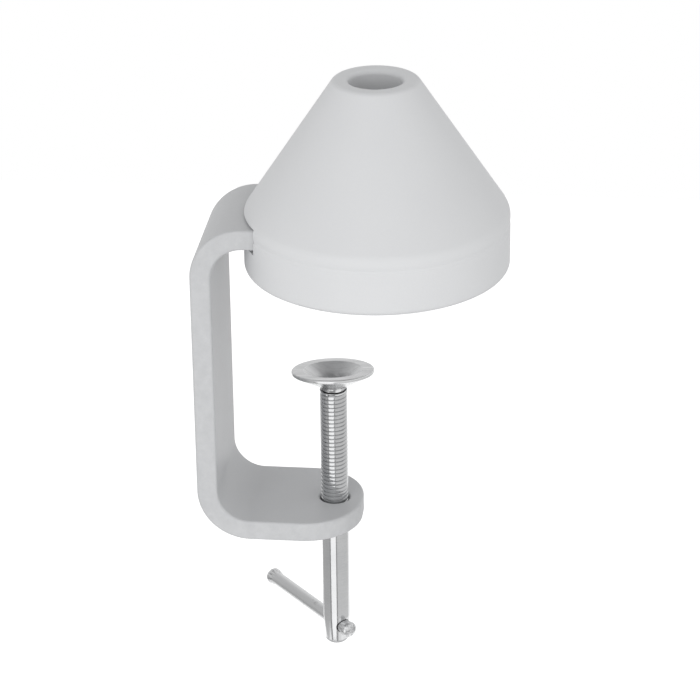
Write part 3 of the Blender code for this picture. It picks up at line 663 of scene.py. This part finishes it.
shape = bmesh.new()
shape.from_mesh(flat_mesh)
bmesh.ops.remove_doubles(shape, verts=shape.verts, dist=WELD)
bmesh.ops.dissolve_limit(shape, angle_limit=FLAT_ANGLE, verts=shape.verts,
                         edges=shape.edges)
for bend_start in (UPPER_FLAT, UPPER_FLAT + BEND_LENGTH + SPINE_FLAT):
    for step in range(BEND_STEPS + 1):
        bmesh.ops.bisect_plane(shape, geom=[*shape.verts, *shape.edges, *shape.faces],
                               plane_co=(bend_start + BEND_LENGTH * step / BEND_STEPS, 0, 0),
                               plane_no=(1, 0, 0))
side_layer = shape.verts.layers.float.new("cut_side")
for vertex in shape.verts:
    depth = (STRAP_THICKNESS / 2 - abs(vertex.co.z)) / EDGE_ROUND
    vertex[side_layer] = min(1, max(0, depth))
    x, z = bent_place(vertex.co.x, vertex.co.z)
    vertex.co = (x, -vertex.co.y, z)
strap = new_piece("bent_strap", shape)
finish_piece(strap, coat, "frame", "bracket")

# %% [markdown]
# The thread is the part of the screw that everyone notices. A bump can fake it from the front
# but not at its outline, so it is geometry: a sheet of points that climbs one pitch a turn,
# with twelve points across each ridge. Where the sheet has gone once round, its last column
# meets the first column one pitch higher. The two ragged ends of the sheet are closed with
# one odd face each, and the thread fades out there, as a real one runs out.

# %% Thread
PITCH = 1.25 * MM
THREAD_DEPTH = 0.38 * MM
CREST_RADIUS = 3.98 * MM
SCREW_RADIUS = 4 * MM
SCREW_STEPS = 72
RUN_OUT = 1.6 * PITCH
RUN_IN = 0.6 * PITCH
SHEET_SPARE = 1.02              # turns: the last column's climb, and a small gap above it
# How deep the groove is at places across one ridge, both from 0 to 1
RIDGE = [(0, 0.04), (0.12, 0.01), (0.28, 0), (0.46, 0.01), (0.62, 0.04), (0.68, 0.26),
         (0.73, 0.70), (0.77, 0.95), (0.80, 1), (0.84, 0.95), (0.89, 0.70), (0.94, 0.26)]


def add_thread(shape, layer, low, high, above, below):
    """Adds a thread between two heights, and joins it to the rings above and below it."""
    turns = int((high - low) / PITCH) - 1
    low = high - (turns + SHEET_SPARE) * PITCH
    columns = []
    for i in range(SCREW_STEPS):
        angle = math.tau * i / SCREW_STEPS
        column = []
        for turn in range(turns):
            for share, depth in RIDGE:
                z = low + PITCH * (i / SCREW_STEPS + turn + share)
                fade = min(1, (z - low) / RUN_OUT, (high - z) / RUN_IN)
                radius = CREST_RADIUS - THREAD_DEPTH * depth * max(0, fade)
                vertex = shape.verts.new((radius * math.cos(angle),
                                          radius * math.sin(angle), z))
                vertex[layer] = depth * max(0, fade)
                column.append(vertex)
        columns.append(column)
    step = len(RIDGE)
    for left, right in zip(columns, columns[1:]):
        for j in range(len(left) - 1):
            shape.faces.new((left[j + 1], left[j], right[j], right[j + 1]))
    first, last = columns[0], columns[-1]
    for j in range(len(last) - step - 1):
        shape.faces.new((last[j + 1], last[j], first[j + step], first[j + step + 1]))
    for i in range(SCREW_STEPS - 1):
        shape.faces.new((columns[i][0], below[i], below[i + 1], columns[i + 1][0]))
        shape.faces.new((above[i], columns[i][-1], columns[i + 1][-1], above[i + 1]))
    shape.faces.new([last[0], below[-1], below[0], *first[:step + 1]])
    shape.faces.new([above[-1], *reversed(last[-step - 1:]), first[-1], above[0]])
    return turns


# %% [markdown]
# The rest of the screw is rings above and below the thread: a cup and a bore at the top for
# the ball rivet, and below the thread a plain shank with a tapered tip. The tip's end is dull
# from the saw, so it carries the groove value too, and twice as much of it, which makes it
# rougher and paints shade on its lower edge. The cross hole for the bar is cut last.

# %% Clamp screw
PIVOT_DEPTH = 4.3 * MM        # the ball joint's middle, below the pad's flat ring
CLAMP_OPENING = 33 * MM
PIVOT_Z = -CLAMP_OPENING - PIVOT_DEPTH
CUP_RADIUS = 4.2 * MM
DRILL_RADIUS = 1.6 * MM
BORE_DEPTH = 5.3 * MM
CUP_EDGE = 0.15 * MM
CHAMFER = 0.6 * MM
PLAIN_BELOW_LEG = 7 * MM
TAPER_LENGTH = 9 * MM
TIP_RADIUS = 3.3 * MM
TIP_DULL = 0.7 * MM
TIP_SHADE_AND_ROUGH = 2
SHANK_STEP = 0.2 * MM
BAR_ABOVE_TIP = 6 * MM
BAR_HOLE_RADIUS = 2.25 * MM
BAR_DIRECTION = math.radians(131)


def below_level(radius, distance):
    """The angle at which a sphere comes this near to its upright axis, below its middle."""
    return -math.acos(distance / radius)


tip_z = screw_low.z - PIVOT_Z
rim_z = screw_high.z - PIVOT_Z
bore_z = -math.sqrt(CUP_RADIUS ** 2 - DRILL_RADIUS ** 2) - BORE_DEPTH
thread_low = LOWER_LEG_Z - STRAP_THICKNESS - PLAIN_BELOW_LEG - PIVOT_Z
thread_high = rim_z - CUP_EDGE
shape = bmesh.new()
groove_layer = shape.verts.layers.float.new("groove")
upper = [(0, bore_z), (DRILL_RADIUS, bore_z)]
upper += arc((0, 0), CUP_RADIUS, below_level(CUP_RADIUS, DRILL_RADIUS),
             below_level(CUP_RADIUS, SCREW_RADIUS - CUP_EDGE), 12)
upper += [(SCREW_RADIUS, rim_z - CUP_EDGE)]
dull_radius = TIP_RADIUS + (SCREW_RADIUS - TIP_RADIUS) * TIP_DULL / (TAPER_LENGTH - CHAMFER)
lower = [(SCREW_RADIUS, thread_low - SHANK_STEP), (SCREW_RADIUS, tip_z + TAPER_LENGTH),
         (dull_radius, tip_z + CHAMFER + TIP_DULL), (TIP_RADIUS, tip_z + CHAMFER),
         (TIP_RADIUS - CHAMFER, tip_z), (0, tip_z)]
upper_rings = [add_ring(shape, radius, height, SCREW_STEPS) for radius, height in upper]
lower_rings = [add_ring(shape, radius, height, SCREW_STEPS) for radius, height in lower]
# The tip's end takes a double groove value: painted shade on its lower edge, and a rougher
# finish.
for ring in lower_rings[-3:]:
    for vertex in ring:
        vertex[groove_layer] = TIP_SHADE_AND_ROUGH
for rings in (upper_rings, lower_rings):
    for high, low in zip(rings, rings[1:]):
        join_rings(shape, high, low, SCREW_STEPS)
turns = add_thread(shape, groove_layer, thread_low, thread_high, upper_rings[-1],
                   lower_rings[0])
screw = new_piece("threaded_screw", shape, (SCREW_X, 0, PIVOT_Z))
bar_hole = rod("bar_hole", BAR_HOLE_RADIUS, -2 * SCREW_RADIUS, 2 * SCREW_RADIUS,
               (SCREW_X, 0, screw_low.z + BAR_ABOVE_TIP))
bar_hole.rotation_euler = (0, QUARTER, BAR_DIRECTION)
combine(screw, [bar_hole])
finish_piece(screw, screw_steel, "screw", "clamp_screw")
print("turns of thread:", turns)

# %% [markdown]
# The pad is a thin turned dish. Its bottom is a piece of a sphere that sits in the screw's
# cup, and the rivet's ball holds it from above, so it can lean. As it hangs free it leans as
# far as the rivet lets it.

# %% Swivel pad and rivet
PAD_RADIUS = 12 * MM
PAD_LAND = 3.4 * MM
PAD_LIP = 1.2 * MM
PAD_LIP_ROUND = 0.5 * MM
PAD_LIP_SLANT = math.radians(70)
PAD_BOTTOM = 3.9 * MM
PAD_SEAT = 2.9 * MM
PAD_NECK_ANGLE = math.radians(12)
PAD_SEAT_ANGLE = math.radians(10)
PAD_TILT = math.radians(9)
PAD_TILT_AXIS = math.radians(12)
RIVET_RADIUS = 1.3 * MM
RIVET_PLAY = 0.3 * MM
BALL_RADIUS = 2.6 * MM
BALL_FLAT = 1 * MM
RIVET_DEPTH = 5 * MM
PAD_STEPS = 128

pad_hole = ((RIVET_RADIUS + RIVET_PLAY + PAD_BOTTOM * math.sin(PAD_TILT))
            / math.cos(PAD_TILT))
edge = PAD_RADIUS - PAD_LIP_ROUND
outline = [(PAD_RADIUS - PAD_LAND, PIVOT_DEPTH)]
outline += arc((edge, PIVOT_DEPTH - PAD_LIP_ROUND), PAD_LIP_ROUND, QUARTER, 0, 8)
outline += arc((edge, PIVOT_DEPTH - PAD_LIP + PAD_LIP_ROUND), PAD_LIP_ROUND,
               0, -PAD_LIP_SLANT, 6)
outline += arc((0, 0), PAD_BOTTOM, -PAD_NECK_ANGLE, below_level(PAD_BOTTOM, pad_hole), 12)
outline += arc((0, 0), PAD_SEAT, below_level(PAD_SEAT, pad_hole), -PAD_SEAT_ANGLE, 8)
pad = lathe("dished_pad", outline, PAD_STEPS, (SCREW_X, 0, PIVOT_Z))
lean_axis = Vector((math.cos(PAD_TILT_AXIS), math.sin(PAD_TILT_AXIS), 0))
pad.rotation_euler = Matrix.Rotation(-PAD_TILT, 3, lean_axis).to_euler()
finish_piece(pad, pad_steel, "pad", "swivel_pad")

cup_floor = -math.sqrt(CUP_RADIUS ** 2 - RIVET_RADIUS ** 2)
outline = [(0, BALL_FLAT)]
outline += arc((0, 0), BALL_RADIUS, math.asin(BALL_FLAT / BALL_RADIUS),
               below_level(BALL_RADIUS, RIVET_RADIUS), 20)
outline += [(RIVET_RADIUS, cup_floor - RIVET_DEPTH), (0, cup_floor - RIVET_DEPTH)]
rivet = lathe("ball_rivet", outline, ROD_STEPS, (SCREW_X, 0, PIVOT_Z))
finish_piece(rivet, pad_steel, "rivet", "pad_rivet")

# %% [markdown]
# The bar can't fall out, because each end was struck with a chisel after it was put in. The
# blow leaves a V across the end and spreads the metal on both sides of it.

# %% Tommy bar
BAR_RADIUS = 1.95 * MM
SPREAD_RADIUS = 2.45 * MM
END_ROUND = 1.5 * MM
NOTCH_DEPTH = 0.5 * MM
BAR_SHIFT = 13.92 * MM

half = BAR_LENGTH / 2
end = [(0, half)]
end += arc((SPREAD_RADIUS - END_ROUND, half - END_ROUND), END_ROUND, QUARTER, 0, 12)
end.append((BAR_RADIUS, half - SPREAD_LENGTH))
bar = lathe("drawn_bar", end + [(radius, -z) for radius, z in reversed(end)], ROD_STEPS)
tools = []
for sign in (1, -1):
    reach = NOTCH_DEPTH / math.sqrt(2)
    notch = block("notch", (-reach, -2 * SPREAD_RADIUS, -reach),
                  (reach, 2 * SPREAD_RADIUS, reach))
    notch.location.z = sign * half
    notch.rotation_euler.y = QUARTER / 2
    tools.append(notch)
combine(bar, tools)
bar.rotation_euler = (0, QUARTER, BAR_DIRECTION)
along = Vector((math.cos(BAR_DIRECTION), math.sin(BAR_DIRECTION), 0))
bar.location = Vector((SCREW_X, 0, screw_low.z + BAR_ABOVE_TIP)) + BAR_SHIFT * along
finish_piece(bar, drawn_steel, "bar", "tommy_bar")

# %% [markdown]
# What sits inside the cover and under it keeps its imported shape, which is right already, and
# only gets its finish.

# %% Hidden pieces
for name, material in {
        "base_plate": moulding, "grip_pad": rubber, "socket_bush": nylon,
        "socket_tube": zinc, "socket_washer": zinc, "socket_bolt": zinc,
        "cover_screw_1": zinc, "cover_screw_2": zinc, "cover_screw_3": zinc}.items():
    nodes[name].data.materials.clear()
    nodes[name].data.materials.append(material)

# %% [markdown]
# Grey paint is easy to light and steel is not, because steel shows the whole room. The bright
# band down the left of the screw is the picture of one tall soft lamp. A camera that looks
# down sees, in an upright shaft, what lies below the horizon, so the lamp has to reach down
# past the clamp. The shaft's dull left edge is the unlit side of the room.

# %% Soft lamp
KEY_AZIMUTH = CAMERA_AZIMUTH - math.radians(21)
KEY_ELEVATION = math.radians(5)
KEY_DISTANCE = 1.0
KEY_WIDTH = 0.9
KEY_HEIGHT = 2.3
KEY_POWER = 7.6

key_data = bpy.data.lights.new("soft_lamp", "AREA")
key_data.shape = "RECTANGLE"
key_data.size = KEY_WIDTH
key_data.size_y = KEY_HEIGHT
key_data.energy = KEY_POWER
key = bpy.data.objects.new("soft_lamp", key_data)
towards_lamp = from_above(KEY_AZIMUTH, KEY_ELEVATION)
key.location = CAMERA_TARGET + KEY_DISTANCE * towards_lamp
key.rotation_euler = towards_lamp.to_track_quat("Z", "Y").to_euler()
bpy.context.scene.collection.objects.link(key)
print("lamp at", [round(value, 2) for value in key.location])

# %% [markdown]
# The world is the rest of the room. It is dim overhead and behind the camera, and lighter
# towards a window at the front right, against the lamp, and at the back. Rays from the camera
# see it white, which gives the plain background, and so does polished metal where it faces
# the backdrop. Elsewhere metal sees the duller walls, which are lighter higher up, and a
# pale floor far below. A lamp doesn't hide the world behind it from a ray, so the wall is
# darkened there. Otherwise the lamp's picture in the screw would be brighter than the lamp.

# %% Room
DIM_LEVEL = 0.32
LEFT_LEVEL = 0.68
RIGHT_LEVEL = 0.96
BACK_LEVEL = 0.66
LEFT_WALL = 0.50
RIGHT_WALL = 0.72
HIGH_WALL = 0.15
LOW_FLOOR = 0.35
BEHIND_LAMP = 0.7
LAMP_EDGE = (0.37, 0.47)        # sines of the angles at which the dark behind it ends
ROOM_WINDOW_AZIMUTH = CAMERA_AZIMUTH + math.radians(62)


def ray_kinds(wire):
    """Three values that are 1 for a ray from the camera, off metal or through glass."""
    return [wire.node("ShaderNodeLightPath", out=f"Is {kind} Ray")
            for kind in ("Camera", "Glossy", "Transmission")]


room = bpy.data.worlds.new("room")
room.use_nodes = True
bpy.context.scene.world = room
sky = Wire(room.node_tree)
looking = sky.node("ShaderNodeTexCoord", out="Generated")
to_right = Vector((math.cos(CAMERA_AZIMUTH), math.sin(CAMERA_AZIMUTH), 0))
to_back = -from_above(CAMERA_AZIMUTH, 0)
to_window = from_above(ROOM_WINDOW_AZIMUTH, 0)
to_lamp = from_above(KEY_AZIMUTH, 0)
beside_lamp = from_above(KEY_AZIMUTH + QUARTER, 0)
right_side = looking.dot(to_right).ramp(-0.4, 0.4)
backdrop = looking.dot(to_back).ramp(0.7, 0.92)
behind_lamp = ((1 - looking.dot(beside_lamp).absolute().ramp(*LAMP_EDGE))
               * looking.dot(to_lamp).ramp(0, 0.3))
level = (DIM_LEVEL + looking.dot(-to_right).ramp(0, 0.9) * (LEFT_LEVEL - DIM_LEVEL)
         + looking.dot(to_window).ramp(0.1, 0.95) * (RIGHT_LEVEL - DIM_LEVEL)
         + looking.dot(to_back).ramp(0.2, 0.9) * (BACK_LEVEL - DIM_LEVEL))
wall = ((LEFT_WALL + right_side * (RIGHT_WALL - LEFT_WALL)
         + height_of(looking).ramp(-0.35, 0.2) * HIGH_WALL
         + (1 - height_of(looking).ramp(-0.70, -0.45)) * LOW_FLOOR)
        * (1 - behind_lamp * BEHIND_LAMP))
in_metal = wall + backdrop * (1 - wall)
from_camera, off_metal, through_glass = ray_kinds(sky)
strength = (level + (from_camera + through_glass) * (1 - level)
            + off_metal * (in_metal - level))
background = room.node_tree.nodes["Background"]
background.inputs["Color"].default_value = (1, 1, 1, 1)
room.node_tree.links.new(strength.socket, background.inputs["Strength"])

# %% [markdown]
# The clamp hangs in the air, as it does in the photograph. A sheet of white paper lies some
# way below it and ends just in front of it, so that it doesn't hide the foot of the lamp from
# the screw. Seen by the camera or in metal, the paper also gives off a little light of its
# own, which lifts it to white but leaves the shadow in it.

# %% Floor
FLOOR_LOW = Vector((-0.5, -0.28, -0.5))
FLOOR_HIGH = Vector((0.5, 1.3, -0.5))
PAPER_GREY = (0.45, 0.45, 0.45, 1)
PAPER_GLOW = 0.9

floor_shape = bmesh.new()
bmesh.ops.create_grid(floor_shape, x_segments=1, y_segments=1, size=0.5,
                      matrix=Matrix.Diagonal((*(FLOOR_HIGH - FLOOR_LOW), 1)))
floor = new_piece("floor", floor_shape, (FLOOR_LOW + FLOOR_HIGH) / 2)
paper = bpy.data.materials.new("white_paper")
paper.use_nodes = True
sheet = Wire(paper.node_tree)
matt = sheet.node("ShaderNodeBsdfDiffuse", None, {"Color": PAPER_GREY})
glow = sheet.node("ShaderNodeEmission", None, {"Strength": PAPER_GLOW})
lit = sheet.node("ShaderNodeAddShader", None, {0: matt, 1: glow})
from_camera, off_metal, through_glass = ray_kinds(sheet)
mixed = sheet.node("ShaderNodeMixShader", None,
                   {0: from_camera + off_metal + through_glass, 1: matt, 2: lit})
output = paper.node_tree.nodes["Material Output"]
paper.node_tree.links.new(mixed.socket, output.inputs["Surface"])
floor.data.materials.append(paper)

# %% [markdown]
# The view transform Standard shows a colour as it is written. The finer pieces stand exactly
# where the imported ones do.

# %% Finish
bpy.context.scene.view_settings.view_transform = "Standard"
